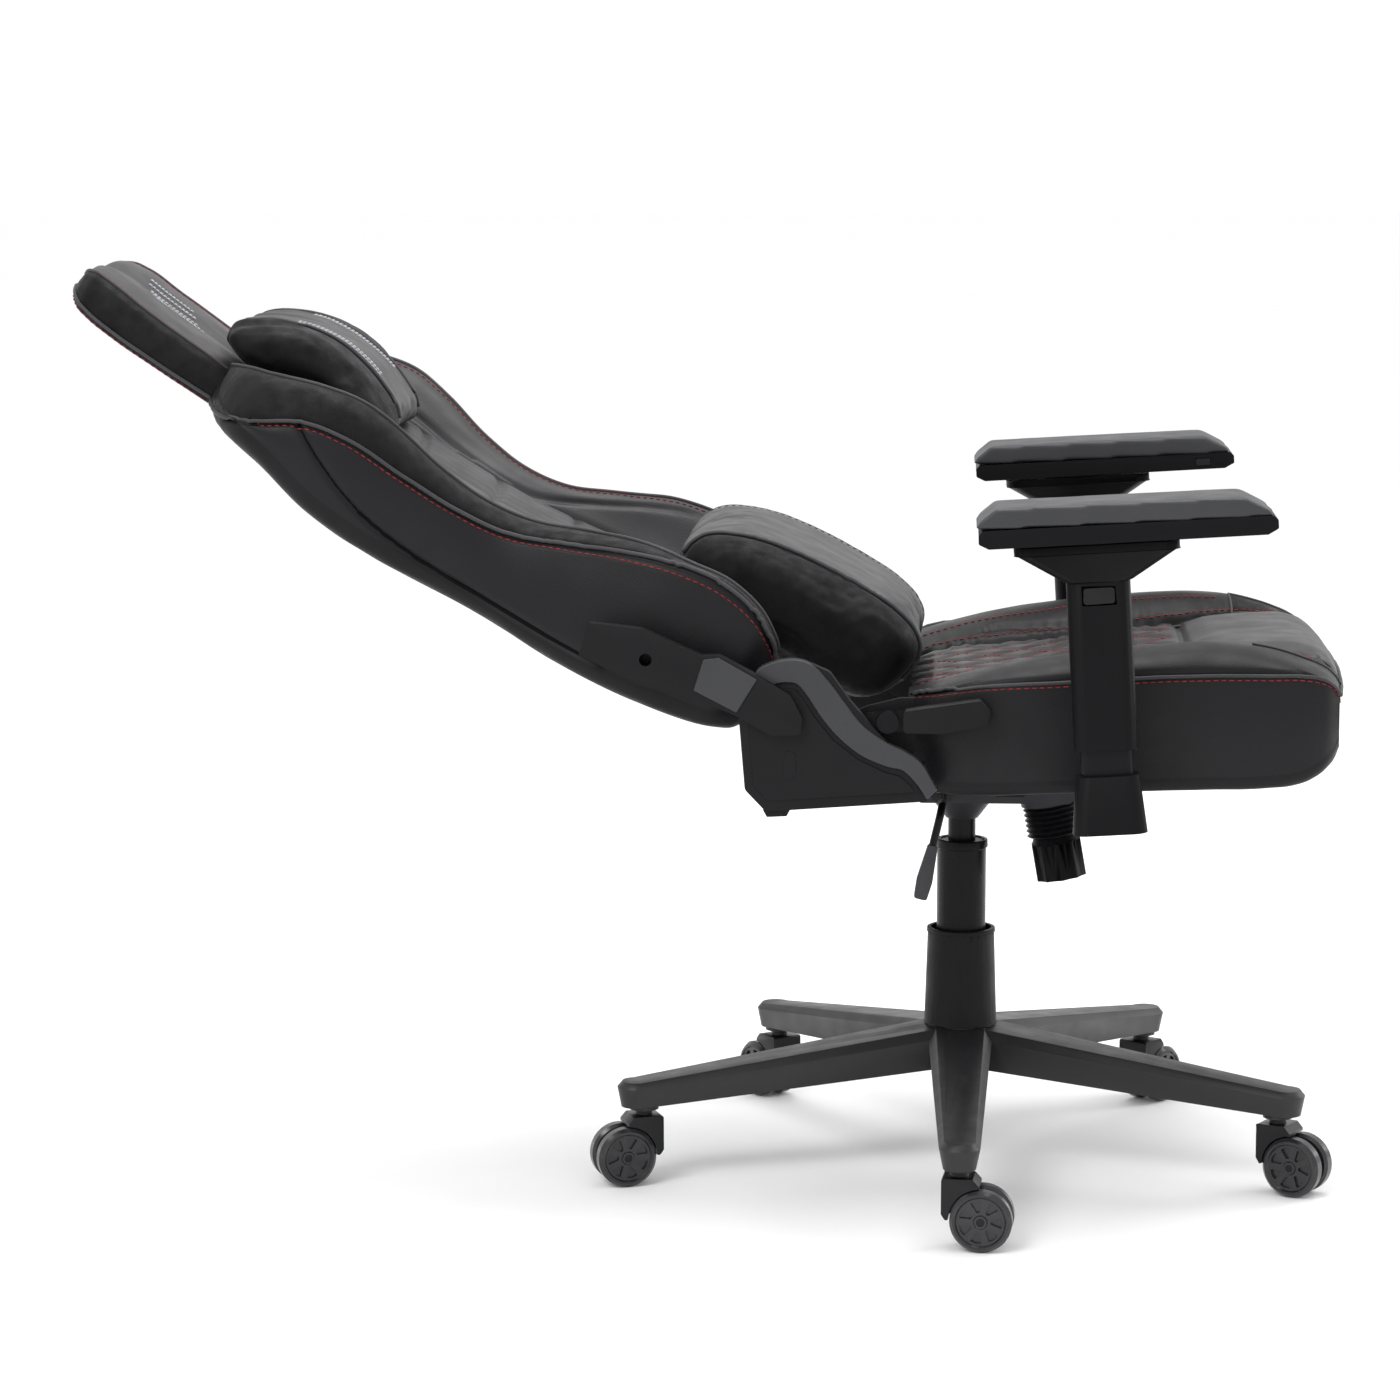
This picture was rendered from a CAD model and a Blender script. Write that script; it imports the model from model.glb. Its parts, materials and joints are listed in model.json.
import json
import math

import bpy
import numpy as np
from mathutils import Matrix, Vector
from mathutils.bvhtree import BVHTree

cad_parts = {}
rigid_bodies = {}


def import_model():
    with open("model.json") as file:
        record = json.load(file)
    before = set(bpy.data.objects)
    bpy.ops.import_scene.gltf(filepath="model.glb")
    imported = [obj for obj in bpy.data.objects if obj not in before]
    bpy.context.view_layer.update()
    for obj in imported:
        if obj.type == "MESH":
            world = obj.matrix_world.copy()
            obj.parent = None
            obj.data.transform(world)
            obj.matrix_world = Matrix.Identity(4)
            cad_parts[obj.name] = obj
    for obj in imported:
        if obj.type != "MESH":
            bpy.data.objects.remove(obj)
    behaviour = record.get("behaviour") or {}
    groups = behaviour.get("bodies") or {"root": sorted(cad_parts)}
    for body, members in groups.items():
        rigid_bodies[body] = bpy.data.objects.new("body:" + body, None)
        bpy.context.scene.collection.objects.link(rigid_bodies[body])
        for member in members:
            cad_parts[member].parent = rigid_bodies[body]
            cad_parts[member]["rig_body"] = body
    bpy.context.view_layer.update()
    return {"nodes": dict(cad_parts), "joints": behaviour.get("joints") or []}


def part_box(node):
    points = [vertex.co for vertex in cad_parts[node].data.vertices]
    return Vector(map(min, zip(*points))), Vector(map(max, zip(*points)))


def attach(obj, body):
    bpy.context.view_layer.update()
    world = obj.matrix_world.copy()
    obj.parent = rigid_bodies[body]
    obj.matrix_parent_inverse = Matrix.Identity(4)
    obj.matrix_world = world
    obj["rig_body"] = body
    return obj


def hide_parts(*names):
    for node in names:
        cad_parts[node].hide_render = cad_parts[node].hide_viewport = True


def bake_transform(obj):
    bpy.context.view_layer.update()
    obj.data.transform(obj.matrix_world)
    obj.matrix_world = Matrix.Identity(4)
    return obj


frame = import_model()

NODES = frame["nodes"]
JOINTS = {j["name"]: j for j in frame["joints"]}
PIVOT = np.array(JOINTS["back_recline"]["pos_m"], float)
UP = np.array(JOINTS["head_pillow_slide"]["axis"], float)
UP /= np.linalg.norm(UP)
FORWARD = np.array([UP[2], 0.0, -UP[0]])
MIRROR = np.array([1, -1, 1])


# ---------------------------------------------------------------- materials


def material(name, colour, rough, grain=900.0, depth=0.1, cells=False, metallic=0.0, sheen=0.0,
             patch=12.0, mottle=0.2, spread=0.06, coat=0.0, specular=0.5):
    """A procedural finish: mottled colour, uneven roughness and a fine grain."""
    made = bpy.data.materials.new(name)
    made.use_nodes = True
    tree = made.node_tree
    shader = tree.nodes["Principled BSDF"]
    shader.inputs["Metallic"].default_value = metallic
    shader.inputs["Specular IOR Level"].default_value = specular
    shader.inputs["Coat Weight"].default_value = coat
    shader.inputs["Coat Roughness"].default_value = 0.25
    shader.inputs["Sheen Weight"].default_value = sheen
    shader.inputs["Sheen Roughness"].default_value = 0.35
    place = tree.nodes.new("ShaderNodeTexCoord")

    def noise(scale, detail=3.0):
        found = tree.nodes.new("ShaderNodeTexNoise")
        found.inputs["Scale"].default_value = scale
        found.inputs["Detail"].default_value = detail
        tree.links.new(place.outputs["Object"], found.inputs["Vector"])
        return found

    ramp = tree.nodes.new("ShaderNodeValToRGB")
    ramp.color_ramp.elements[0].position = 0.3
    ramp.color_ramp.elements[1].position = 0.7
    ramp.color_ramp.elements[0].color = (*[c * (1 - mottle) for c in colour], 1)
    ramp.color_ramp.elements[1].color = (*[c * (1 + mottle) for c in colour], 1)
    tree.links.new(noise(patch, 5.0).outputs["Fac"], ramp.inputs["Fac"])
    tree.links.new(ramp.outputs["Color"], shader.inputs["Base Color"])
    worn = tree.nodes.new("ShaderNodeMapRange")
    worn.inputs["From Min"].default_value = 0.3
    worn.inputs["From Max"].default_value = 0.7
    worn.inputs["To Min"].default_value = rough - spread
    worn.inputs["To Max"].default_value = rough + spread
    tree.links.new(noise(patch * 3.1, 4.0).outputs["Fac"], worn.inputs["Value"])
    tree.links.new(worn.outputs["Result"], shader.inputs["Roughness"])
    if cells:
        fine = tree.nodes.new("ShaderNodeTexVoronoi")
        fine.feature = "DISTANCE_TO_EDGE"
        fine.inputs["Scale"].default_value = grain
        tree.links.new(place.outputs["Object"], fine.inputs["Vector"])
        height = fine.outputs["Distance"]
    else:
        height = noise(grain, 2.0).outputs["Fac"]
    bump = tree.nodes.new("ShaderNodeBump")
    bump.inputs["Strength"].default_value = depth
    bump.inputs["Distance"].default_value = 0.0006
    tree.links.new(height, bump.inputs["Height"])
    tree.links.new(bump.outputs["Normal"], shader.inputs["Normal"])
    return made


LEATHER = material("leather", (0.0080, 0.0081, 0.0093), 0.44, 420, 0.35, cells=True, mottle=0.12,
                   specular=0.17)
LEATHER_FRONT = material("leather_front", (0.021, 0.021, 0.023), 0.45, 420, 0.35, cells=True, mottle=0.12,
                         specular=0.36)
LEATHER_BACK = material("leather_back", (0.0068, 0.0068, 0.0078), 0.5, 420, 0.3, cells=True, mottle=0.12,
                        specular=0.15)
QUILT = material("quilted_leather", (0.014, 0.0135, 0.0145), 0.42, 420, 0.3, cells=True, mottle=0.15,
                 specular=0.36)
VELVET = material("velvet", (0.0022, 0.0022, 0.0026), 0.6, 1500, 0.6, sheen=0.05, patch=22, mottle=0.6,
                  spread=0.16, specular=0.16)
PIPING = material("piping", (0.030, 0.030, 0.033), 0.5, 700, 0.4, cells=True, mottle=0.15, specular=0.3)
THREAD = material("red_thread", (0.22, 0.014, 0.017), 0.6, 3000, 0.5, mottle=0.25, patch=80, specular=0.2)
GREY_THREAD = material("grey_thread", (0.34, 0.34, 0.36), 0.55, 3000, 0.5, mottle=0.15, patch=80)
SHADOW = material("dark_gap", (0.002, 0.002, 0.0025), 0.85, 800, 0.3, specular=0.1)
BASE_PLASTIC = material("base_plastic", (0.0140, 0.0142, 0.0155), 0.40, 1300, 0.3, mottle=0.1,
                        specular=0.36)
COVER_PLASTIC = material("cover_plastic", (0.0062, 0.0063, 0.0071), 0.46, 1100, 0.35, mottle=0.1,
                         specular=0.14)
BAND_PLASTIC = material("band_plastic", (0.027, 0.0275, 0.030), 0.38, 1100, 0.3, mottle=0.1, specular=0.34)
ARM_PLASTIC = material("arm_plastic", (0.0042, 0.0042, 0.0050), 0.42, 1300, 0.3, mottle=0.1, specular=0.10)
CASTER_PLASTIC = material("caster_plastic", (0.005, 0.005, 0.006), 0.32, 1300, 0.25, mottle=0.1,
                          specular=0.25)
TREAD = material("tread", (0.013, 0.013, 0.015), 0.22, 900, 0.12, mottle=0.2, spread=0.08, specular=0.5)
PAD = material("pad_soft", (0.027, 0.0275, 0.030), 0.48, 900, 0.45, mottle=0.1, specular=0.36)
BLACK_STEEL = material("black_steel", (0.004, 0.004, 0.005), 0.3, 1600, 0.25, mottle=0.1, coat=0.03,
                       specular=0.11)
BRIGHT = material("bright_steel", (0.55, 0.55, 0.56), 0.24, 2200, 0.2, metallic=1.0, mottle=0.06)
HOUSING = material("housing_metal", (0.02, 0.02, 0.023), 0.45, 1400, 0.4, metallic=0.3, mottle=0.15,
                   specular=0.35)
BADGE = material("badge_metal", (0.36, 0.22, 0.15), 0.33, 1600, 0.25, metallic=1.0, mottle=0.1)

FINISH = {
    "star_base": BASE_PLASTIC, "caster_sockets": BRIGHT, "gas_lift_cylinder": BLACK_STEEL,
    "gas_lift_bush": CASTER_PLASTIC, "column_cover": COVER_PLASTIC, "gas_lift_piston": BLACK_STEEL,
    "mechanism_housing": HOUSING, "mechanism_pivot_rod": BLACK_STEEL, "tension_spring": BRIGHT,
    "spring_bellows": CASTER_PLASTIC, "lever_socket": CASTER_PLASTIC, "lift_lever_rod": BLACK_STEEL,
    "lift_lever_grip": BAND_PLASTIC, "seat_mount_plate": BLACK_STEEL, "seat_bolts": BRIGHT,
    "seat_frame": BLACK_STEEL, "recliner_seat_plates": BLACK_STEEL, "hinge_covers": COVER_PLASTIC,
    "recliner_cross_rod": BLACK_STEEL, "arm_posts": BLACK_STEEL, "arm_boots": ARM_PLASTIC,
    "tension_bolt": BRIGHT, "tension_knob": ARM_PLASTIC, "recline_lever": BLACK_STEEL,
    "recline_lever_grip": COVER_PLASTIC, "back_frame": BLACK_STEEL, "recliner_back_plates": BLACK_STEEL,
    "recliner_bolts": BLACK_STEEL, "back_hinge_covers": COVER_PLASTIC, "back_badge": BADGE,
}
for side_name in ("right", "left"):
    FINISH["arm_sleeve_" + side_name] = ARM_PLASTIC
    FINISH["height_button_" + side_name] = CASTER_PLASTIC
    FINISH["pad_turntable_" + side_name] = ARM_PLASTIC
    FINISH["pad_base_" + side_name] = ARM_PLASTIC
    FINISH["pad_button_" + side_name] = CASTER_PLASTIC
for number in range(1, 6):
    FINISH[f"caster_fork_{number}"] = CASTER_PLASTIC
    FINISH[f"caster_wheels_{number}"] = TREAD


# ---------------------------------------------------------------- mesh helpers


def linked(name, mesh):
    """A new object in the scene that holds the mesh."""
    made = bpy.data.objects.new(name, mesh)
    bpy.context.scene.collection.objects.link(made)
    return made


def meshed(name, verts, faces, mats, which=None, smooth=True):
    """A new object from points and faces; which gives each face's place in mats."""
    mesh = bpy.data.meshes.new(name)
    mesh.from_pydata([tuple(map(float, v)) for v in verts], [], faces)
    for m in mats:
        mesh.materials.append(m)
    if which is not None:
        mesh.polygons.foreach_set("material_index", np.asarray(which, np.int32))
    mesh.polygons.foreach_set("use_smooth", np.full(len(mesh.polygons), smooth))
    mesh.update()
    return linked(name, mesh)


def settled(obj):
    """The object's modifiers applied."""
    deps = bpy.context.evaluated_depsgraph_get()
    fresh = bpy.data.meshes.new_from_object(obj.evaluated_get(deps), depsgraph=deps)
    obj.modifiers.clear()
    obj.data = fresh
    return obj


def faced_out(obj):
    """Turns every face of a closed mesh outward."""
    bpy.context.view_layer.objects.active = obj
    obj.select_set(True)
    bpy.ops.object.mode_set(mode="EDIT")
    bpy.ops.mesh.select_all(action="SELECT")
    bpy.ops.mesh.normals_make_consistent(inside=False)
    bpy.ops.object.mode_set(mode="OBJECT")
    obj.select_set(False)


def finer(obj):
    """One level of subdivision, applied."""
    level = obj.modifiers.new("fine", "SUBSURF")
    level.levels = level.render_levels = 1
    settled(obj)


def body_node(name):
    """The body that a CAD node belongs to."""
    return NODES[name]["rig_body"]


def table(pairs):
    """A smooth curve through (place, value) pairs."""
    pairs = sorted(pairs)
    xs = np.array([p[0] for p in pairs], float)
    ys = np.array([p[1] for p in pairs], float)
    slopes = np.gradient(ys, xs)

    def value(x):
        x = np.clip(np.asarray(x, float), xs[0], xs[-1])
        k = np.clip(np.searchsorted(xs, x) - 1, 0, len(xs) - 2)
        h = xs[k + 1] - xs[k]
        t = (x - xs[k]) / h
        a = (2 * t ** 3 - 3 * t ** 2 + 1) * ys[k] + (t ** 3 - 2 * t ** 2 + t) * h * slopes[k]
        b = (-2 * t ** 3 + 3 * t ** 2) * ys[k + 1] + (t ** 3 - t ** 2) * h * slopes[k + 1]
        return a + b

    return value


def ease(t):
    """A smooth step from 0 to 1."""
    t = np.clip(t, 0, 1)
    return t * t * (3 - 2 * t)


def ridge(distance, width):
    """A smooth bump, 1 on a line and fading away from it."""
    return np.exp(-((distance / width) ** 2))


def wrinkle(p, scale, seed):
    """Smooth noise from a few sines, from -1 to 1."""
    rng = np.random.default_rng(seed)
    total = np.zeros(len(p))
    for _ in range(7):
        turn = rng.normal(size=3)
        turn *= scale * rng.uniform(0.6, 1.7) / np.linalg.norm(turn)
        total += np.sin(p @ turn + rng.uniform(0, 6.28))
    return total / 7


def mesh_normals(obj):
    n = np.empty(len(obj.data.vertices) * 3, np.float32)
    obj.data.vertices.foreach_get("normal", n)
    return n.reshape(-1, 3).astype(float)


def mesh_points(obj):
    p = np.empty(len(obj.data.vertices) * 3, np.float32)
    obj.data.vertices.foreach_get("co", p)
    return p.reshape(-1, 3).astype(float)


def move_points(obj, points):
    obj.data.vertices.foreach_set("co", np.asarray(points, np.float32).ravel())
    obj.data.update()


def between(p0, p1, p2, p3, t):
    """A point of the smooth curve from p1 to p2."""
    return 0.5 * (2 * p1 + (p2 - p0) * t + (2 * p0 - 5 * p1 + 4 * p2 - p3) * t * t
                  + (3 * p1 - p0 - 3 * p2 + p3) * t ** 3)


def resampled(points, step):
    """The same line with points at even steps."""
    points = np.asarray(points, float)
    lengths = np.r_[0, np.cumsum(np.linalg.norm(np.diff(points, axis=0), axis=1))]
    count = max(2, int(round(lengths[-1] / step)) + 1)
    places = np.linspace(0, lengths[-1], count)
    return np.stack([np.interp(places, lengths, points[:, k]) for k in range(3)], 1)


def onto(obj, points, lift=0.0, step=0.004, along=None):
    """A line laid on an object's surface, and the surface's direction along it.
    It is carried to the nearest point, or straight along a direction where one is given."""
    tree = BVHTree.FromObject(obj, bpy.context.evaluated_depsgraph_get())
    laid, out = [], []
    for p in resampled(points, step):
        place, normal, _, _ = tree.find_nearest(Vector(p))
        if along is not None:
            hit = tree.ray_cast(Vector(p) - Vector(along) * 0.1, Vector(along))
            if hit[0] is None:
                continue
            place, normal = hit[0], hit[1]
        laid.append(np.array(place) + np.array(normal) * lift)
        out.append(np.array(normal))
    return np.array(laid), np.array(out)


def tube(name, points, radius, mat, body, sides=8):
    """A round cord along a line, with flat ends."""
    points = np.asarray(points, float)
    ahead = np.gradient(points, axis=0)
    ahead /= np.maximum(np.linalg.norm(ahead, axis=1)[:, None], 1e-9)
    side = np.cross(ahead[0], [0.31, 0.87, 0.38])
    verts = []
    for p, a in zip(points, ahead):
        side = side - a * np.dot(side, a)
        side /= max(np.linalg.norm(side), 1e-9)
        other = np.cross(a, side)
        for k in range(sides):
            t = 2 * math.pi * k / sides
            verts.append(p + radius * (math.cos(t) * side + math.sin(t) * other))
    n, faces = len(points), []
    for i in range(n - 1):
        for k in range(sides):
            j, m = i + 1, (k + 1) % sides
            faces.append((i * sides + k, i * sides + m, j * sides + m, j * sides + k))
    faces.append(tuple(range(sides))[::-1])
    faces.append(tuple((n - 1) * sides + k for k in range(sides)))
    made = meshed(name, verts, faces, [mat])
    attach(made, body)
    return made


def stitches(name, rows, body, mat=THREAD, pitch=0.0075, length=0.0052, radius=0.00062, lift=0.0004):
    """Rows of short threads; each row is (points, directions out of the surface)."""
    verts, faces = [], []
    for points, out in rows:
        points, out = np.asarray(points, float), np.asarray(out, float)
        lengths = np.r_[0, np.cumsum(np.linalg.norm(np.diff(points, axis=0), axis=1))]
        for start in np.arange(pitch / 2, lengths[-1] - length, pitch):
            spots = [start, start + length * 0.25, start + length * 0.75, start + length]
            line = np.stack([np.interp(spots, lengths, points[:, k]) for k in range(3)], 1)
            up = np.stack([np.interp(spots, lengths, out[:, k]) for k in range(3)], 1)
            first = len(verts)
            for i, (p, n) in enumerate(zip(line, up)):
                ahead = line[min(i + 1, 3)] - line[max(i - 1, 0)]
                across = np.cross(ahead, n)
                across /= max(np.linalg.norm(across), 1e-9)
                n = n / max(np.linalg.norm(n), 1e-9)
                thick = radius * (0.55 if i in (0, 3) else 1.0)
                high = lift - (radius if i in (0, 3) else 0)
                for k in range(6):
                    t = 2 * math.pi * k / 6
                    verts.append(p + n * (high + thick * math.sin(t)) + across * thick * math.cos(t))
            for i in range(3):
                for k in range(6):
                    a, b = first + i * 6 + k, first + i * 6 + (k + 1) % 6
                    faces.append((a, b, b + 6, a + 6))
            faces.append(tuple(first + k for k in range(6))[::-1])
            faces.append(tuple(first + 18 + k for k in range(6)))
    made = meshed(name, verts, faces, [mat])
    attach(made, body)
    return made


def bevelled(node, width=0.0012):
    """A copy of a CAD node with its sharp edges eased, in the node's place."""
    made = linked(node + "_shell", NODES[node].data.copy())
    made.data.materials.clear()
    made.data.materials.append(FINISH[node])
    weld = made.modifiers.new("weld", "WELD")
    weld.merge_threshold = 0.00001
    settled(made)
    flat = made.modifiers.new("flat", "DECIMATE")
    flat.decimate_type = "DISSOLVE"
    flat.angle_limit = math.radians(0.6)
    settled(made)
    made.data.polygons.foreach_set("use_smooth", np.ones(len(made.data.polygons), bool))
    round_ = made.modifiers.new("round", "BEVEL")
    round_.width = width
    round_.segments = 2
    round_.limit_method = "ANGLE"
    round_.angle_limit = math.radians(32)
    round_.use_clamp_overlap = True
    round_.harden_normals = True
    settled(made)
    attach(made, body_node(node))
    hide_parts(node)
    return made


# ---------------------------------------------------------------- lofted upholstery


def lofted(name, loops, regions, mats, caps=5):
    """A skin over closed loops; the ends are closed by rings that shrink to each end loop's middle line."""
    loops = [np.asarray(l, float) for l in loops]
    count = len(loops[0])
    verts = np.concatenate(loops)
    faces, which = [], []
    for i in range(len(loops) - 1):
        for k in range(count):
            m = (k + 1) % count
            faces.append((i * count + k, i * count + m, (i + 1) * count + m, (i + 1) * count + k))
            which.append(regions[k])
    made_verts = [verts]
    total = len(verts)
    for end, last in ((0, loops[0]), (len(loops) - 1, loops[-1])):
        partner = (-np.arange(count)) % count
        middle = (last + last[(count // 2 + partner) % count]) / 2
        centre = middle.mean(0)
        middle = centre + (middle - centre) * 0.96
        before = end * count + np.arange(count)
        for r in range(1, caps + 1):
            f = r / caps
            ring = last + (middle - last) * f
            made_verts.append(ring)
            here = total + np.arange(count)
            total += count
            for k in range(count):
                m = (k + 1) % count
                face = (before[k], before[m], here[m], here[k])
                faces.append(face if end else face[::-1])
                which.append(regions[k])
            before = here
    made = meshed(name, np.concatenate(made_verts), faces, mats, which)
    weld = made.modifiers.new("weld", "WELD")
    weld.merge_threshold = 0.0004
    settled(made)
    faced_out(made)
    return made


def half_section(pieces):
    """Points of a half section, from its pieces, with each piece's region."""
    points, regions, marks = [], [], []
    for piece, region in pieces:
        marks.append(len(points))
        for p in piece[:-1]:
            points.append(p)
            regions.append(region)
    points.append(pieces[-1][0][-1])
    marks.append(len(points) - 1)
    return np.array(points), regions, marks


def whole(points, regions):
    """The half section (first point and last point on the middle line) mirrored into a closed loop."""
    other = points[-2:0:-1] * np.array([-1, 1])
    return np.concatenate([points, other]), regions + regions[::-1]


def bend(a, c, b, n):
    """A quadratic curve from a to b drawn toward c."""
    t = np.linspace(0, 1, n)[:, None]
    a, b, c = np.array(a, float), np.array(b, float), np.array(c, float)
    return (1 - t) ** 2 * a + 2 * t * (1 - t) * c + t * t * b


def straight(a, b, n, bow=(0, 0)):
    """A line from a to b, bowed by up to bow in the middle."""
    t = np.linspace(0, 1, n)[:, None]
    a, b = np.array(a, float), np.array(b, float)
    return a + (b - a) * t + np.array(bow) * np.sin(np.pi * t)


# ------------------------------------------------------ backrest, in metres up and forward of its hinge


def on_back(y, v, u):
    """Points across, forward and up the backrest, in the row frame."""
    y, v, u = np.broadcast_arrays(np.asarray(y, float), np.asarray(v, float), np.asarray(u, float))
    flat = PIVOT + u[..., None] * UP + v[..., None] * FORWARD
    flat[..., 1] = y
    return flat


back_low, back_high = 0.034, 0.646
SIDE_SEAM = [(0.551, 0.014), (0.535, 0.003), (0.519, -0.007), (0.488, -0.024), (0.459, -0.037),
             (0.425, -0.047), (0.387, -0.054), (0.345, -0.057), (0.308, -0.058), (0.244, -0.057),
             (0.180, -0.053)]
SIDE_V = table(SIDE_SEAM)
HALF = table([(0.034, 0.240), (0.06, 0.257), (0.10, 0.264), (0.165, 0.262), (0.21, 0.251), (0.255, 0.235),
              (0.33, 0.216), (0.405, 0.228), (0.45, 0.244), (0.50, 0.258), (0.545, 0.262), (0.58, 0.256),
              (0.61, 0.236), (0.63, 0.200), (0.640, 0.165), (0.646, 0.135)])
REAR = table([(0.034, -0.050), (0.07, -0.062), (0.135, -0.071), (0.221, -0.078), (0.32, -0.078),
              (0.421, -0.076), (0.504, -0.064), (0.57, -0.044), (0.60, -0.039), (0.626, -0.035),
              (0.646, -0.032)])
SEAM = table([(0.034, 0.032), (0.07, 0.060), (0.109, 0.072), (0.162, 0.069), (0.218, 0.052),
              (0.271, 0.029), (0.324, 0.009), (0.378, 0.006), (0.436, 0.012), (0.50, 0.020),
              (0.546, 0.014), (0.588, -0.008), (0.615, -0.021), (0.646, -0.029)])
CREST = table([(0.034, 0.036), (0.07, 0.064), (0.109, 0.076), (0.155, 0.073), (0.194, 0.068),
               (0.254, 0.047), (0.305, 0.028), (0.357, 0.023), (0.405, 0.030), (0.464, 0.047),
               (0.507, 0.055), (0.546, 0.050), (0.60, 0.032), (0.628, 0.022), (0.646, 0.012)])
CREST_Y = table([(0.034, 0.216), (0.07, 0.236), (0.109, 0.242), (0.155, 0.238), (0.194, 0.226),
                 (0.254, 0.196), (0.305, 0.179), (0.357, 0.180), (0.405, 0.193), (0.464, 0.209),
                 (0.507, 0.223), (0.546, 0.226), (0.60, 0.202), (0.628, 0.170), (0.646, 0.124)])
INNER_Y = table([(0.034, 0.176), (0.08, 0.178), (0.165, 0.170), (0.255, 0.150), (0.33, 0.142),
                 (0.405, 0.146), (0.49, 0.156), (0.545, 0.156), (0.60, 0.142), (0.628, 0.128),
                 (0.646, 0.108)])
FRONT = table([(0.034, 0.002), (0.07, 0.012), (0.17, 0.014), (0.25, 0.008), (0.33, 0.003), (0.42, 0.006),
               (0.50, 0.010), (0.60, 0.006), (0.646, 0.001)])


def back_section(u):
    """Half of the backrest's outline at height u, as (across, forward) points."""
    half, rear, seam, crest = float(HALF(u)), float(REAR(u)), float(SEAM(u)), float(CREST(u))
    cy, iy, front = float(CREST_Y(u)), float(INNER_Y(u)), float(FRONT(u))
    corner = 0.022
    wing = cy - iy
    slope = (cy - 0.6 * wing, 0.5 * (crest + front))
    pieces = [
        (straight((0, rear - 0.003), (half - corner, rear + 0.001), 22, (0, -0.004)), 0),
        (bend((half - corner, rear + 0.001), (half - 0.002, rear + 0.002), (half, rear + corner), 7), 0),
        (straight((half, rear + corner), (half, seam), 14, (0.004, 0)), 1),
        (bend((half, seam), (half - 0.25 * (half - cy), crest + 0.001), (cy, crest), 10), 2),
        (bend((cy, crest), (cy - 0.35 * wing, crest + 0.002), slope, 8), 3),
        (bend(slope, (iy + 0.12 * wing, front), (iy, front), 8), 3),
        (straight((iy, front), (0, front), 22, (0, 0.007)), 4),
    ]
    return half_section(pieces)


stations = 0.5 - 0.5 * np.cos(np.pi * np.linspace(0.06, 0.985, 150))
stations = (stations - stations[0]) / (stations[-1] - stations[0])
stations = back_low + (back_high - back_low) * stations
loops = []
for u in stations:
    half_points, half_regions, marks = back_section(u)
    loop, regions = whole(half_points, half_regions)
    pinch = 1 - 0.15 * ridge(u - back_low, 0.006)
    middle = (float(REAR(u)) + float(SEAM(u))) / 2
    loop = np.stack([loop[:, 0], middle + (loop[:, 1] - middle) * pinch], 1)
    loops.append(on_back(loop[:, 0], loop[:, 1], u))
back_rows = np.array(loops)
BACK_MATS = [LEATHER_BACK, LEATHER, VELVET, LEATHER_FRONT, LEATHER_FRONT]
backrest = lofted("backrest_upholstery", loops, regions, BACK_MATS)


def back_places(points):
    """How far points are up, forward and across the backrest."""
    flat = points - PIVOT
    return flat @ UP, flat @ FORWARD, points[:, 1]


finer(backrest)
points, out = mesh_points(backrest), mesh_normals(backrest)
u, v, y = back_places(points)
side_line = np.abs(np.abs(y) - INNER_Y(u))
front_facing = out @ FORWARD > 0.2
dent = -0.006 * ridge(side_line, 0.0045) * front_facing
centre = front_facing & (np.abs(y) < INNER_Y(u))
for level in (0.20, 0.29, 0.38, 0.47, 0.56):
    curve = level - 0.02 * (1 - (y / 0.16) ** 2)
    dent += np.where(centre, -0.005 * ridge(u - curve, 0.005) * ease((INNER_Y(u) - np.abs(y)) / 0.02), 0)
outer = np.abs(out[:, 1]) > 0.55
dent += np.where(outer, -0.0035 * ridge(v - SEAM(u) + 0.001, 0.0030), 0)
dent += np.where(outer & (u < 0.55) & (u > 0.18), -0.004 * ridge(v - SIDE_V(u), 0.0035), 0)
puff = 0.0016 * wrinkle(points, 28, 3) + 0.0006 * wrinkle(points * np.array([1, 2.2, 1]), 110, 4)
move_points(backrest, points + out * (dent + puff)[:, None])
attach(backrest, "backrest")
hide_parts("back_cushion", "back_wings")

for side, word in ((1, "left"), (-1, "right")):
    def line(index, offset=0):
        return back_rows[:, (index + offset) % back_rows.shape[1]] * np.array([1, side, 1])

    seam_at, crest_at, inner_at = marks[3], marks[4], marks[6]
    laid, _ = onto(backrest, line(seam_at)[2:-3], 0.0010)
    tube(f"outer_piping_{word}", laid, 0.0021, PIPING, "backrest")
    laid, _ = onto(backrest, line(crest_at)[4:-3], 0.0008)
    tube(f"crest_piping_{word}", laid, 0.0021, PIPING, "backrest")
    rows = [onto(backrest, line(seam_at, -1)[3:-4], 0.0), onto(backrest, line(crest_at, 2)[5:-4], 0.0)]
    stitches(f"back_stitches_{word}", rows, "backrest")
    laid, _ = onto(backrest, line(inner_at)[4:-4], 0.0004)
    tube(f"inner_welt_{word}", laid, 0.0016, PIPING, "backrest")
    panel_line = [on_back(side * 0.29, v_, u_) for u_, v_ in SIDE_SEAM]
    laid, _ = onto(backrest, panel_line, -0.0003, along=(0, -side, 0))
    tube(f"side_panel_seam_{word}", laid, 0.0012, SHADOW, "backrest")
    laid, _ = onto(backrest, panel_line[4:], -0.0008, along=(0, -side, 0))
    tube(f"side_panel_slit_{word}", laid, 0.0024, SHADOW, "backrest")


# ---------------------------------------------------------------- headrest

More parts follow.
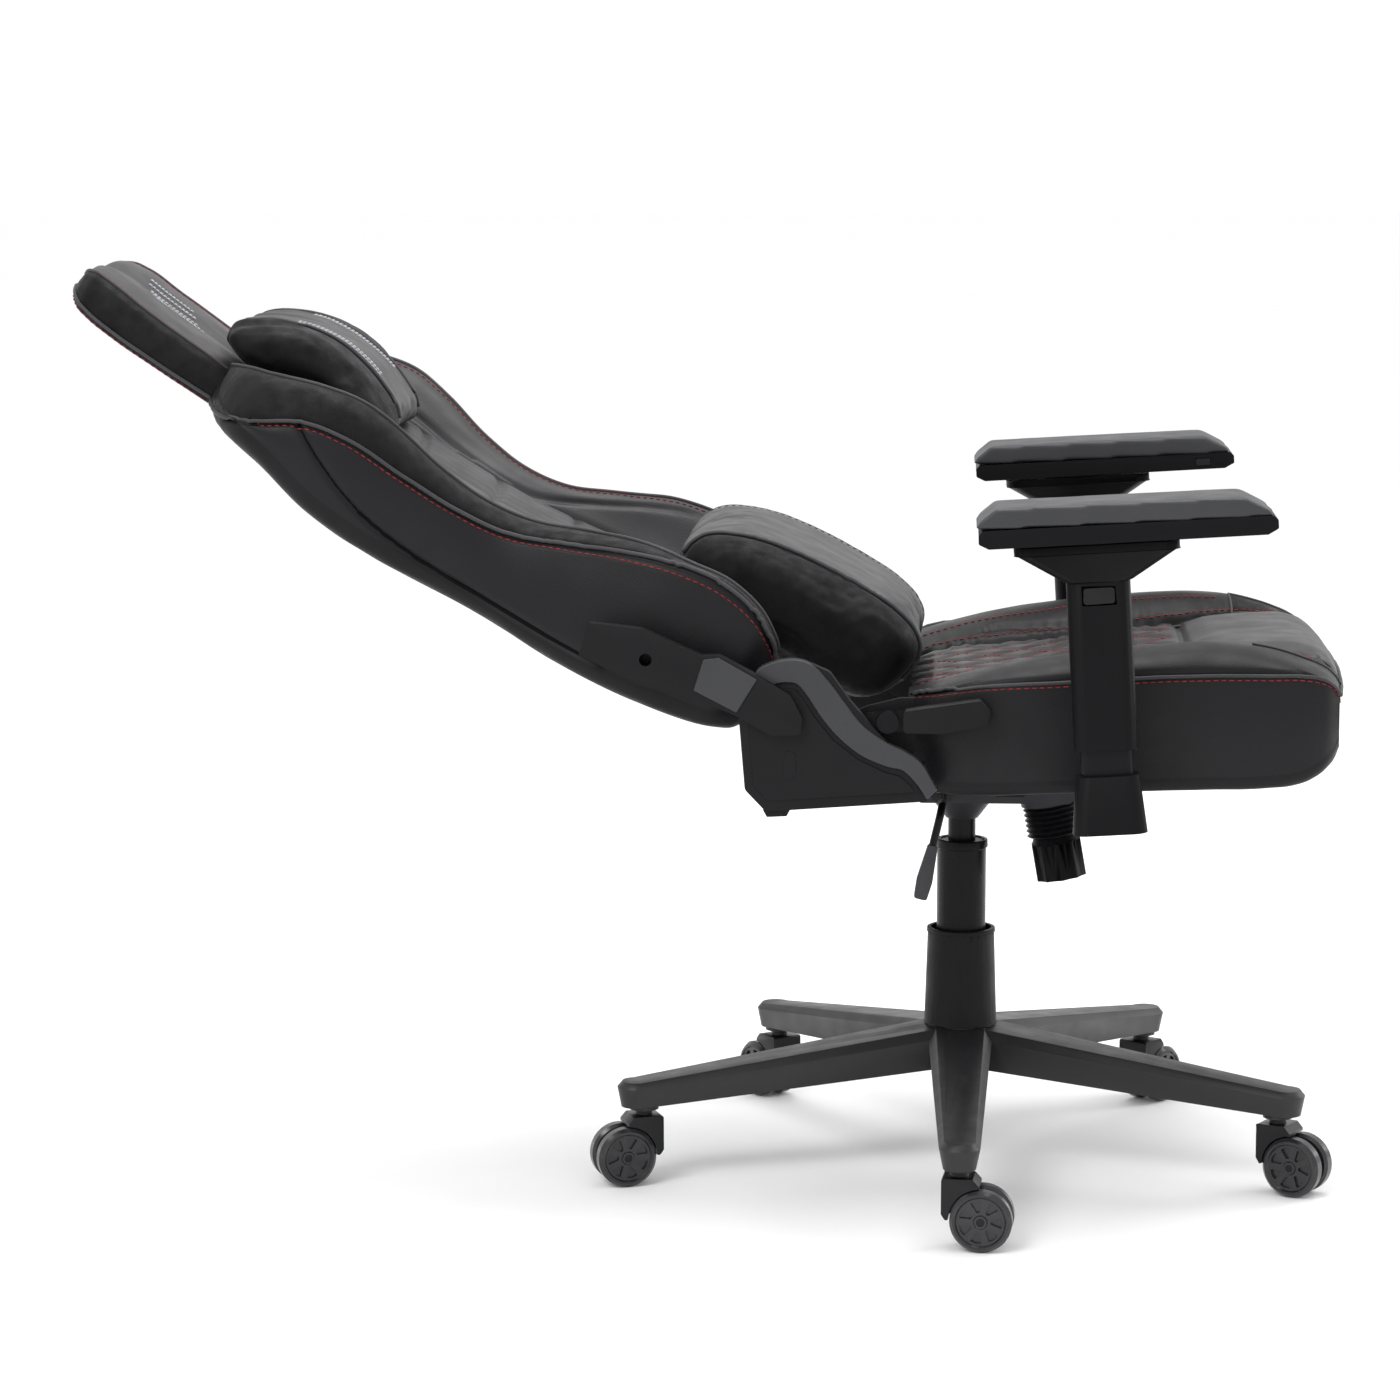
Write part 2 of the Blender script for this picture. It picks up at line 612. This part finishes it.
head_low, head_high = 0.640, 0.824
HEAD_HALF = table([(0.640, 0.1300), (0.70, 0.1345), (0.76, 0.1335), (0.795, 0.1270), (0.812, 0.115),
                   (0.820, 0.098), (0.824, 0.078)])
HEAD_FRONT = table([(0.640, 0.002), (0.70, 0.010), (0.75, 0.017), (0.795, 0.0235), (0.812, 0.0225),
                    (0.820, 0.018), (0.824, 0.012)])
HEAD_REAR = table([(0.640, -0.034), (0.678, -0.031), (0.725, -0.027), (0.772, -0.022), (0.795, -0.018),
                   (0.812, -0.013), (0.820, -0.008), (0.824, -0.003)])


def head_section(u):
    """Half of the headrest's outline at height u, as (across, forward) points."""
    half, front, rear = float(HEAD_HALF(u)), float(HEAD_FRONT(u)), float(HEAD_REAR(u))
    deep = front - rear
    soft = min(0.012, deep * 0.4)
    rim = (half - 0.018, front + 0.001)
    pieces = [
        (straight((0, rear - 0.002), (half - soft, rear), 16, (0, -0.002)), 0),
        (bend((half - soft, rear), (half, rear), (half + 0.001, rear + soft), 6), 2),
        (straight((half + 0.001, rear + soft), (half - 0.004, front - soft * 0.5), 8, (0.002, 0)), 2),
        (bend((half - 0.004, front - soft * 0.5), (half - 0.006, front), rim, 6), 2),
        (straight(rim, (0, front), 20, (0, 0.005)), 3),
    ]
    return half_section(pieces)


head_round = 0.80
stations = np.concatenate([
    np.linspace(head_low, head_round, 48),
    head_round + (head_high - head_round) * np.sin(np.linspace(0.12, 1.5707, 16)),
])
loops = []
for u in stations:
    half_points, half_regions, head_marks = head_section(u)
    loop, regions = whole(half_points, half_regions)
    loops.append(on_back(loop[:, 0], loop[:, 1], u))
head_rows = np.array(loops)
headrest = lofted("headrest_upholstery", loops, regions, BACK_MATS)
finer(headrest)
points, out = mesh_points(headrest), mesh_normals(headrest)
puff = 0.0012 * wrinkle(points, 34, 5) + 0.0005 * wrinkle(points, 120, 6)
move_points(headrest, points + out * puff[:, None])
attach(headrest, "backrest")
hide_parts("headrest")


def both_sides(line):
    """A line up the left side and down the mirrored right side."""
    return np.concatenate([line, (line * MIRROR)[::-1]])


laid, _ = onto(headrest, both_sides(head_rows[2:-1, head_marks[4]]), 0.0006)
tube("headrest_piping", laid, 0.0018, PIPING, "backrest")
rim = both_sides(head_rows[3:-2, head_marks[4] + 1])
stitches("headrest_stitches", [onto(headrest, rim, 0.0)], "backrest")
laid, _ = onto(headrest, both_sides(head_rows[2:-1, head_marks[1] + 4]), 0.0006)
tube("headrest_rear_piping", laid, 0.0018, PIPING, "backrest")
rim = both_sides(head_rows[3:-2, head_marks[1] + 2])
stitches("headrest_rear_stitches", [onto(headrest, rim, 0.0)], "backrest")
bands = []
for k in range(5):
    across = (k - 2) * 0.017
    for offset in (0.0, 0.0015, 0.0030):
        foot_ = on_back(across + offset, 0.04, 0.690 + 0.007 * k)
        tip_ = on_back(across + offset, 0.04, 0.752 + 0.007 * k)
        bands.append(onto(headrest, [foot_, tip_], 0.0))
stitches("headrest_embroidery", bands, "backrest", GREY_THREAD, pitch=0.0046, length=0.0042, radius=0.0006)


# ---------------------------------------------------------------- pillows


def pillow(name, outline, half, mats, cap, power, least):
    """A stuffed pillow: an outline across its width, drawn in toward both ends."""
    outline = np.array(outline, float)
    n = len(outline)
    fine = []
    for i in range(n):
        p0, p1, p2, p3 = outline[i - 1], outline[i], outline[(i + 1) % n], outline[(i + 2) % n]
        for t in np.linspace(0, 1, 12, endpoint=False):
            fine.append(between(p0, p1, p2, p3, t))
    fine = np.array(fine)
    centre = fine.mean(0)
    ys = half * np.sin(np.linspace(-1, 1, 61) * math.pi / 2)
    loops = []
    for y_ in ys:
        s = max(1e-4, 1 - abs(y_ / half) ** power) ** (1 / 2.6)
        s = least + (1 - least) * s
        ring = centre + (fine - centre) * s
        loops.append(on_back(y_, ring[:, 1], ring[:, 0]))
    loops = np.array(loops)
    count = loops.shape[1]
    verts = loops.reshape(-1, 3)
    faces = []
    for i in range(len(ys) - 1):
        for k in range(count):
            m = (k + 1) % count
            faces.append((i * count + k, (i + 1) * count + k, (i + 1) * count + m, i * count + m))
    faces.append(tuple(range(count)))
    faces.append(tuple((len(ys) - 1) * count + k for k in range(count))[::-1])
    made = meshed(name, verts, faces, mats)
    mod = made.modifiers.new("even", "REMESH")
    mod.mode = "VOXEL"
    mod.voxel_size = 0.0045
    mod.use_smooth_shade = True
    settled(made)
    cushion_sim(made, cap)
    finer(made)
    return made


def cushion_sim(obj, cap):
    """The cover blown out over its filling, by at most cap metres, so that it creases by itself."""
    before = mesh_points(obj)
    cloth = obj.modifiers.new("cloth", "CLOTH")
    setting = cloth.settings
    setting.quality = 5
    setting.mass = 0.3
    setting.tension_stiffness = 18
    setting.compression_stiffness = 18
    setting.bending_stiffness = 0.6
    setting.use_pressure = True
    setting.uniform_pressure_force = 4
    setting.effector_weights.gravity = 0
    setting.shrink_min = -0.015
    cloth.point_cache.frame_start = 1
    cloth.point_cache.frame_end = 14
    scene = bpy.context.scene
    for f in range(1, 15):
        scene.frame_set(f)
    deps = bpy.context.evaluated_depsgraph_get()
    blown = mesh_points(bpy.data.objects[obj.name].evaluated_get(deps))
    scene.frame_set(1)
    obj.modifiers.clear()
    move = blown - before
    long_ = np.linalg.norm(move, axis=1)
    keep = np.minimum(1, cap / np.maximum(long_, 1e-9))
    if np.isfinite(blown).all():
        move_points(obj, before + move * keep[:, None])
    else:
        print(f"{obj.name}: the simulation failed, so the cover keeps its plain shape")


def faces_by(obj, rule):
    """Materials by a rule over every face's middle and direction."""
    count = len(obj.data.polygons)
    mid = np.empty(count * 3, np.float32)
    out_ = np.empty(count * 3, np.float32)
    obj.data.polygons.foreach_get("center", mid)
    obj.data.polygons.foreach_get("normal", out_)
    found = rule(mid.reshape(-1, 3).astype(float), out_.reshape(-1, 3).astype(float))
    obj.data.polygons.foreach_set("material_index", np.asarray(found, np.int32))
    obj.data.update()


def panel_inside(border, depth):
    """The rule that gives the leather panel between a pillow's two seams, and velvet elsewhere."""
    def rule(p, n):
        return ((np.abs(p[:, 1]) < border) & ((p - PIVOT) @ FORWARD > depth)).astype(int)

    return rule


LUMBAR_BORDER, NECK_BORDER = 0.134, 0.074
lumbar_line = [(-0.070, 0.030), (-0.040, 0.018), (0.03, 0.020), (0.10, 0.022), (0.150, 0.030), (0.168, 0.062),
               (0.158, 0.092), (0.120, 0.109), (0.06, 0.117), (0.0, 0.118), (-0.050, 0.115), (-0.080, 0.105),
               (-0.090, 0.085), (-0.084, 0.055)]
lumbar = pillow("lumbar_pillow_cover", lumbar_line, 0.166, [VELVET, LEATHER_FRONT], 0.005, 7, 0.62)
points, out = mesh_points(lumbar), mesh_normals(lumbar)
u, v, y = back_places(points)
border = np.abs(np.abs(y) - LUMBAR_BORDER)
dent = -0.004 * ridge(border, 0.004) * (v > 0.060)
pucker = 0.0010 * wrinkle(points * np.array([1.0, 3.0, 1.0]), 60, 9) * ease((np.abs(y) - 0.125) / 0.03)
move_points(lumbar, points + out * (dent + pucker + 0.0012 * wrinkle(points, 30, 8))[:, None])
faces_by(lumbar, panel_inside(LUMBAR_BORDER, 0.055))
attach(lumbar, "lumbar_pillow")
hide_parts("lumbar_pillow")
for side, word in ((1, "left"), (-1, "right")):
    arc = [on_back(side * LUMBAR_BORDER, v_, u_) for u_, v_ in
           ((-0.094, 0.060), (-0.096, 0.086), (-0.084, 0.110), (-0.05, 0.121), (0.0, 0.125), (0.06, 0.124),
            (0.122, 0.116), (0.160, 0.096), (0.176, 0.064))]
    laid, _ = onto(lumbar, arc, 0.0006)
    tube(f"lumbar_piping_{word}", laid, 0.0022, PIPING, "lumbar_pillow")
    inner_arc = [p - np.array([0, side * 0.006, 0]) for p in arc]
    stitches(f"lumbar_stitches_{word}", [onto(lumbar, inner_arc, 0.0)], "lumbar_pillow", GREY_THREAD,
             radius=0.0005)

head_line = [(0.476, 0.034), (0.488, 0.018), (0.57, 0.018), (0.650, 0.020), (0.671, 0.036), (0.652, 0.052),
             (0.618, 0.067), (0.585, 0.074), (0.550, 0.070), (0.514, 0.058)]
neck = pillow("head_pillow_cover", head_line, 0.134, [VELVET, LEATHER_FRONT], 0.005, 6, 0.6)
points, out = mesh_points(neck), mesh_normals(neck)
u, v, y = back_places(points)
gather = ease((u - 0.585) / 0.06) + 0.6 * ease((np.abs(y) - 0.09) / 0.04)
folds = np.sin(y * 210 + 1.2 * np.sin(u * 60)) * 0.5 + np.sin(y * 137 + u * 40) * 0.5
dent = -0.004 * ridge(np.abs(np.abs(y) - NECK_BORDER), 0.004) * (v > 0.05)
puff = 0.0022 * folds * np.clip(gather, 0, 1.3) + 0.0022 * wrinkle(points, 48, 12)
move_points(neck, points + out * (puff + dent)[:, None])
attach(neck, "head_pillow")
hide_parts("head_pillow")
faces_by(neck, panel_inside(NECK_BORDER, 0.030))
for side, word in ((1, "left"), (-1, "right")):
    arc = [on_back(side * NECK_BORDER, v_, u_) for u_, v_ in
           ((0.468, 0.045), (0.505, 0.078), (0.540, 0.092), (0.575, 0.098), (0.608, 0.090), (0.643, 0.072),
            (0.664, 0.046))]
    laid, _ = onto(neck, arc, 0.0006)
    tube(f"neck_piping_{word}", laid, 0.0020, PIPING, "head_pillow")
bars = []
for across in (-0.056, -0.046, 0.046, 0.056):
    for offset in (0.0, 0.0015, 0.0030):
        bars.append(onto(neck, [on_back(across + offset, v_, u_) for u_, v_ in
                                ((0.510, 0.075), (0.55, 0.09), (0.585, 0.095), (0.620, 0.085))], 0.0))
stitches("neck_embroidery", bars, "head_pillow", GREY_THREAD, pitch=0.0046, length=0.0042, radius=0.0006)


# ---------------------------------------------------------------- seat

seat_low, seat_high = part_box("seat_cushion")
seat_back, seat_nose = -0.054, seat_high.x
S_HALF = table([(-0.054, 0.236), (-0.03, 0.252), (0.02, 0.2605), (0.15, 0.262), (0.28, 0.262),
                (0.33, 0.2605), (0.350, 0.256), (0.362, 0.249), (0.371, 0.238)])
S_SEAM = table([(-0.054, 0.521), (0.02, 0.533), (0.093, 0.5375), (0.225, 0.5445), (0.30, 0.5452),
                (0.338, 0.5445), (0.352, 0.5415), (0.362, 0.536), (0.368, 0.529), (0.371, 0.523)])
S_CREST = table([(-0.054, 0.521), (-0.035, 0.527), (0.02, 0.543), (0.102, 0.557), (0.176, 0.5655),
                 (0.239, 0.5690), (0.291, 0.565), (0.333, 0.554), (0.350, 0.547), (0.362, 0.538),
                 (0.368, 0.530), (0.371, 0.524)])
S_MID = table([(-0.054, 0.506), (-0.03, 0.514), (0.06, 0.524), (0.20, 0.541), (0.29, 0.5515),
               (0.335, 0.5515), (0.352, 0.548), (0.362, 0.541), (0.368, 0.532), (0.371, 0.525)])
S_BASE = table([(-0.054, 0.428), (-0.02, 0.4245), (0.09, 0.4265), (0.227, 0.431), (0.30, 0.4335),
                (0.325, 0.436), (0.345, 0.442), (0.360, 0.452), (0.368, 0.462), (0.371, 0.470)])
S_CREST_Y = table([(-0.054, 0.205), (0.0, 0.212), (0.10, 0.212), (0.24, 0.206), (0.30, 0.204),
                   (0.345, 0.200), (0.371, 0.180)])
S_INNER_Y = table([(-0.054, 0.128), (0.05, 0.136), (0.15, 0.142), (0.22, 0.148), (0.30, 0.156),
                   (0.35, 0.160), (0.371, 0.150)])


def front_bow(x, y):
    """How far the seat's front curves back toward its sides."""
    return 0.014 * (y / 0.262) ** 2 * ease((x - 0.20) / 0.17)


def seat_section(x):
    """Half of the seat's outline at station x, as (across, up) points."""
    half, seam, crest, mid = float(S_HALF(x)), float(S_SEAM(x)), float(S_CREST(x)), float(S_MID(x))
    base, cy, iy = float(S_BASE(x)), float(S_CREST_Y(x)), float(S_INNER_Y(x))
    crest = max(crest, seam + 0.0006)
    pieces = [
        (straight((0, base), (half - 0.016, base), 18), 0),
        (bend((half - 0.016, base), (half - 0.001, base), (half - 0.001, base + 0.014), 7), 0),
        (straight((half - 0.001, base + 0.014), (half, seam), 18, (0.003, 0)), 1),
        (bend((half, seam), (half - 0.012, crest), (cy, crest), 14), 2),
        (bend((cy, crest), (cy - 0.42 * (cy - iy), crest), (iy, mid - 0.001), 14), 3),
        (straight((iy, mid - 0.001), (0, mid), 26, (0, 0.002)), 4),
    ]
    return half_section(pieces)


nose = 0.30
stations = np.concatenate([
    seat_back + 0.03 * (1 - np.cos(np.linspace(0.25, 1.5707, 12))),
    np.linspace(seat_back + 0.033, nose, 96),
    nose + (seat_nose - nose) * np.sin(np.linspace(0.03, 1.5707, 44)),
])
loops = []
for x in stations:
    half_points, half_regions, seat_marks = seat_section(x)
    loop, regions = whole(half_points, half_regions)
    loops.append(np.stack([x - front_bow(x, loop[:, 0]), loop[:, 0], loop[:, 1]], 1))
seat_rows = np.array(loops)
SEAT_MATS = [LEATHER_BACK, LEATHER, LEATHER, LEATHER, QUILT, LEATHER_FRONT, VELVET]
seat = lofted("seat_upholstery", loops, regions, SEAT_MATS)
finer(seat)

QUILT_EDGE = 0.222
CORNER = 0.283
PITCH = 0.050


def quilt_distance(x, y):
    """Distance to the nearest line of the diamond quilting."""
    a = (x / 1.18 + y) / PITCH
    b = (x / 1.18 - y) / PITCH
    return np.minimum(np.abs(a - np.round(a)), np.abs(b - np.round(b))) * PITCH * 0.76


points, out = mesh_points(seat), mesh_normals(seat)
x, y, z = points.T
ay = np.abs(y)
top = ease((out[:, 2] - 0.35) / 0.3) * (z > 0.49)
inner = S_INNER_Y(x)
panel = (ay < inner) & (top > 0)
quilted = panel * ease((QUILT_EDGE - 0.004 - x) / 0.012) * ease((inner - 0.004 - ay) / 0.012)
lines_ = quilt_distance(x, y)
puff = quilted * (0.0030 * (1 - ridge(lines_, 0.0065)) - 0.0012)
front_puff = panel * ease((x - QUILT_EDGE) / 0.03) * ease((inner - ay) / 0.04) * ease((0.372 - x) / 0.05)
puff += 0.0055 * front_puff
puff += -0.0065 * top * ridge(ay - inner, 0.0045)
puff += -0.006 * panel * ridge(x - QUILT_EDGE, 0.0042)
outer = np.abs(out[:, 1]) > 0.35
puff += -0.003 * outer * ridge(z - S_SEAM(x), 0.0032)
puff += 0.0011 * wrinkle(points, 30, 21) + 0.0004 * wrinkle(points, 120, 22)
near_seam = ridge(ay - inner, 0.022) * top
puff += 0.0010 * near_seam * np.sin(x * 300 + 2 * np.sin(x * 70))
move_points(seat, points + out * puff[:, None])


def seat_faces(p, n):
    """The smooth front panel and the velvet corners, over the loft's own regions."""
    x_, y_ = p[:, 0], np.abs(p[:, 1])
    found = np.empty(len(p), np.int32)
    seat.data.polygons.foreach_get("material_index", found)
    up = (n[:, 2] > 0.2) & (p[:, 2] > 0.49)
    centre_ = up & (y_ < S_INNER_Y(x_))
    found[centre_ & (x_ > QUILT_EDGE)] = 5
    found[(found == 3) & up & ~centre_ & (x_ + front_bow(x_, y_) > CORNER)] = 6
    return found


faces_by(seat, seat_faces)
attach(seat, "seat")
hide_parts("seat_cushion", "seat_bolsters")

quilt_rows = []
for k in range(-12, 14):
    for sign in (1, -1):
        line_points = []
        for y_ in np.linspace(-0.16, 0.16, 65):
            x_ = 1.18 * (k * PITCH - sign * y_)
            if -0.045 < x_ < QUILT_EDGE - 0.006 and abs(y_) < float(S_INNER_Y(x_)) - 0.007:
                line_points.append((x_, y_, float(S_MID(x_)) + 0.004))
        if len(line_points) > 3:
            quilt_rows.append(onto(seat, line_points, 0.0, step=0.003))
stitches("quilt_stitches", quilt_rows, "seat", radius=0.0007)

ends = seat_rows[-1, seat_marks[3]:seat_marks[6] + 1]
across_front = both_sides(ends)
laid, _ = onto(seat, across_front + np.array([0.004, 0, 0]), 0.0008)
tube("seat_front_piping", laid, 0.0020, PIPING, "seat")
stitches("seat_front_stitches", [onto(seat, across_front + np.array([0.006, 0, -0.008]), 0.0)], "seat")
for side, word in ((1, "left"), (-1, "right")):
    def seat_line(index, offset=0, first=2, last=-2):
        return seat_rows[first:last, (index + offset) % seat_rows.shape[1]] * np.array([1, side, 1])

    laid, _ = onto(seat, seat_line(seat_marks[3], 0, 3, -1), 0.0008)
    tube(f"seat_piping_{word}", laid, 0.0020, PIPING, "seat")
    laid, _ = onto(seat, seat_line(seat_marks[5], 0, 4, -14), 0.0006)
    tube(f"seat_inner_welt_{word}", laid, 0.0017, PIPING, "seat")
    corner_row = int(np.argmin(np.abs(np.array(stations) - CORNER)))
    corner_line = seat_rows[corner_row, seat_marks[4]:seat_marks[5] + 1]
    patch_edge = list(corner_line * np.array([1, side, 1]))
    patch_edge += list(seat_line(seat_marks[5], -1, corner_row, -8))
    laid, _ = onto(seat, patch_edge, 0.0005)
    tube(f"seat_corner_piping_{word}", laid, 0.0014, PIPING, "seat")
    laid, _ = onto(seat, seat_line(seat_marks[4], 0, corner_row, -3), 0.0005)
    tube(f"seat_crest_piping_{word}", laid, 0.0014, PIPING, "seat")
    rows = [
        onto(seat, seat_line(seat_marks[3], -1, 4, -3), 0.0),
        onto(seat, seat_line(seat_marks[4], 5, 4, corner_row - 2), 0.0),
        onto(seat, seat_line(seat_marks[5], -2, 5, -16), 0.0),
    ]
    stitches(f"seat_stitches_{word}", rows, "seat")


# ---------------------------------------------------------------- arm pads


def arm_top(word):
    """The soft upper half of an arm pad: rounded, slightly crowned, and as long as the pad's base."""
    node = f"pad_top_{word}"
    made = linked(f"pad_top_{word}_skin", NODES[node].data.copy())
    made.data.materials.clear()
    made.data.materials.append(PAD)
    mod = made.modifiers.new("even", "REMESH")
    mod.mode = "VOXEL"
    mod.voxel_size = 0.003
    mod.use_smooth_shade = True
    settled(made)
    soft_ = made.modifiers.new("soft", "SMOOTH")
    soft_.factor = 0.5
    soft_.iterations = 6
    settled(made)
    p, n = mesh_points(made), mesh_normals(made)
    low, high = p.min(0), p.max(0)
    mid = (low + high) / 2
    s = np.abs((p - mid) / ((high - low) / 2))
    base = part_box(f"pad_base_{word}")
    high_ = (p[:, 2] - low[2]) / (high[2] - low[2])
    crown = ease((high_ - 0.4) / 0.5) * 0.0012 * (1 - s[:, 0] ** 4) * (1 - s[:, 1] ** 4)
    p = p + n * (crown + 0.0002 * wrinkle(p, 70, 31))[:, None]
    wide = (base[1].x - base[0].x - 0.0012) / (high[0] - low[0])
    p[:, 0] = mid[0] + (p[:, 0] - mid[0]) * (1 + (wide - 1) * (1 - 0.55 * high_))
    p[:, 2] = low[2] + (p[:, 2] - low[2]) * 0.93
    move_points(made, p)
    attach(made, body_node(node))
    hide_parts(node)
    return made


for word in ("right", "left"):
    arm_top(word)


# ---------------------------------------------------------------- finishes on the CAD nodes

SHELLS = ["star_base", "column_cover", "recline_lever_grip", "arm_boots",
          "tension_knob", "lift_lever_grip", "gas_lift_cylinder"]
ARM_SHELLS = ("arm_sleeve", "height_button", "pad_base", "pad_turntable")
SHELLS += [f"{part}_{word}" for part in ARM_SHELLS for word in ("right", "left")]
SHELLS += [f"caster_fork_{k}" for k in range(1, 6)]
for node in SHELLS:
    bevelled(node)
bevelled("hinge_covers", 0.0025)
bevelled("back_hinge_covers", 0.0035)
for node, mat in FINISH.items():
    NODES[node].data.materials.clear()
    NODES[node].data.materials.append(mat)


# ---------------------------------------------------------------- trim on the hinge covers


def plate(name, outline, inner, outer_, mat, body, width):
    """A thin trim plate drawn in side view, with its edges eased."""
    n = len(outline)
    verts = [(p[0], inner, p[1]) for p in outline] + [(p[0], outer_, p[1]) for p in outline]
    faces = [tuple(range(n)), tuple(range(n, 2 * n))[::-1]]
    faces += [(k, k + n, (k + 1) % n + n, (k + 1) % n) for k in range(n)]
    made = meshed(name, verts, faces, [mat])
    faced_out(made)
    edge_ = made.modifiers.new("round", "BEVEL")
    edge_.width = width
    edge_.segments = 2
    edge_.limit_method = "ANGLE"
    edge_.angle_limit = math.radians(40)
    edge_.harden_normals = True
    settled(made)
    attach(made, body)
    return made


def spline(points, per):
    """A smooth open curve through points."""
    points = np.array(points, float)
    ends = np.vstack([2 * points[0] - points[1], points, 2 * points[-1] - points[-2]])
    fine = []
    for i in range(1, len(ends) - 2):
        p0, p1, p2, p3 = ends[i - 1:i + 3]
        for t in np.linspace(0, 1, per, endpoint=False):
            fine.append(between(p0, p1, p2, p3, t))
    fine.append(points[-1])
    return np.array(fine)


BAND_TOP = [(-201, 536), (-196, 550), (-179, 558), (-158, 560), (-141, 553), (-126, 537), (-112, 518),
            (-94, 496), (-71, 480), (-54, 472), (-39, 461), (-24, 436)]
BAND_LOW = [(-189, 531), (-176, 537), (-160, 537), (-150, 527), (-138, 509), (-121, 488), (-98, 469),
            (-73, 458), (-57, 454), (-43, 440), (-34, 426)]
FACE = [(-205, 504), (-195, 524), (-178, 532), (-160, 532), (-153, 524), (-141, 505), (-124, 484),
        (-100, 465), (-75, 453), (-60, 449), (-49, 440), (-45, 433), (-186, 423), (-200, 438)]
FOOT = [(-191, 414.5), (-187, 407), (-168, 408), (-164, 415.5)]
RECESS = [(-171, 467), (-168, 472), (-162, 472), (-159, 467), (-159, 450), (-162, 445), (-168, 445),
          (-171, 450)]
APRON = [(-118, 500), (-92, 512), (-60, 520), (-46, 520), (-46, 432), (-60, 440), (-80, 452), (-104, 470)]
PATCH = [(-0.0245, 0.094), (-0.0235, 0.048), (0.0140, 0.046), (0.0145, 0.088), (0.0060, 0.100)]


def metres(points):
    """Trim outlines are drawn in millimetres."""
    return [(a / 1000, b / 1000) for a, b in points]


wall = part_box("hinge_covers")[1].y
wall_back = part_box("back_hinge_covers")[1].y
band = np.vstack([spline(metres(BAND_TOP), 6), spline(metres(BAND_LOW), 6)[::-1]])
for side, word in ((1, "left"), (-1, "right")):
    trims = [
        ("hinge_band", band, wall - 0.012, wall + 0.0030, BAND_PLASTIC, 0.0014),
        ("hinge_face", metres(FACE), wall - 0.001, wall + 0.0018, COVER_PLASTIC, 0.0017),
        ("hinge_recess", metres(RECESS), wall + 0.001, wall + 0.0024, COVER_PLASTIC, 0.0004),
        ("hinge_foot", metres(FOOT), wall - 0.024, wall - 0.003, COVER_PLASTIC, 0.0010),
        ("seat_apron", metres(APRON), 0.2555, 0.2595, LEATHER_BACK, 0.0010),
    ]
    for name, outline, inside, outside, mat, width in trims:
        plate(f"{name}_{word}", outline, side * inside, side * outside, mat, "seat", width)
    outline = [tuple(on_back(0, v_, u_)[[0, 2]]) for v_, u_ in PATCH]
    plate(f"hinge_patch_{word}", outline, side * (wall_back - 0.004), side * (wall_back + 0.0016),
          BAND_PLASTIC, "backrest", 0.0010)


# ---------------------------------------------------------------- spring and bellows that follow the tilt

for node in ("tension_spring", "spring_bellows"):
    made = linked(node + "_flexing", NODES[node].data.copy())
    made.data.materials.clear()
    made.data.materials.append(FINISH[node])
    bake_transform(made)
    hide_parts(node)


# ---------------------------------------------------------------- stage, light and camera

half_floor, floor_z = 30, -0.0005
FLOOR_WHITE = material("floor_white", (0.95, 0.95, 0.95), 0.9, 300, 0.02, mottle=0.01, specular=0.1)
corners = [(-1, -1), (1, -1), (1, 1), (-1, 1)]
floor = meshed("floor", [(half_floor * a, half_floor * b, floor_z) for a, b in corners], [(0, 1, 2, 3)],
               [FLOOR_WHITE], smooth=False)

world = bpy.data.worlds.new("studio")
bpy.context.scene.world = world
world.use_nodes = True
world.node_tree.nodes["Background"].inputs["Color"].default_value = (1, 1, 1, 1)
world.node_tree.nodes["Background"].inputs["Strength"].default_value = 1.05
bpy.context.scene.view_settings.view_transform = "Standard"


def area(name, place, target, size, power):
    """A rectangular lamp turned toward target."""
    lamp = bpy.data.lights.new(name, "AREA")
    lamp.shape = "RECTANGLE"
    lamp.size, lamp.size_y = size
    lamp.energy = power
    made = bpy.data.objects.new(name, lamp)
    bpy.context.scene.collection.objects.link(made)
    made.location = place
    made.rotation_euler = (Vector(target) - Vector(place)).to_track_quat("-Z", "Y").to_euler()


area("key", (-1.6, -2.6, 3.0), (-0.1, 0, 0.5), (1.6, 1.2), 55)
area("top", (0.2, 0.3, 3.2), (0, 0, 0.5), (2.4, 1.6), 60)
area("rim", (2.6, 1.2, 1.6), (0.1, 0, 0.5), (0.9, 1.8), 25)

CAMERA_LENS = 112.4074
CAMERA_PLACE = (-0.0072, -4.4079, 1.1188)
CAMERA_DIP, CAMERA_TURN = 8.255, 3.385

camera = bpy.data.cameras.new("camera")
camera.sensor_width = 36
camera.lens = CAMERA_LENS
camera.clip_end = 100
view = bpy.data.objects.new("camera", camera)
bpy.context.scene.collection.objects.link(view)
view.location = CAMERA_PLACE
view.rotation_euler = (math.radians(90 - CAMERA_DIP), 0, math.radians(CAMERA_TURN))
bpy.context.scene.camera = view
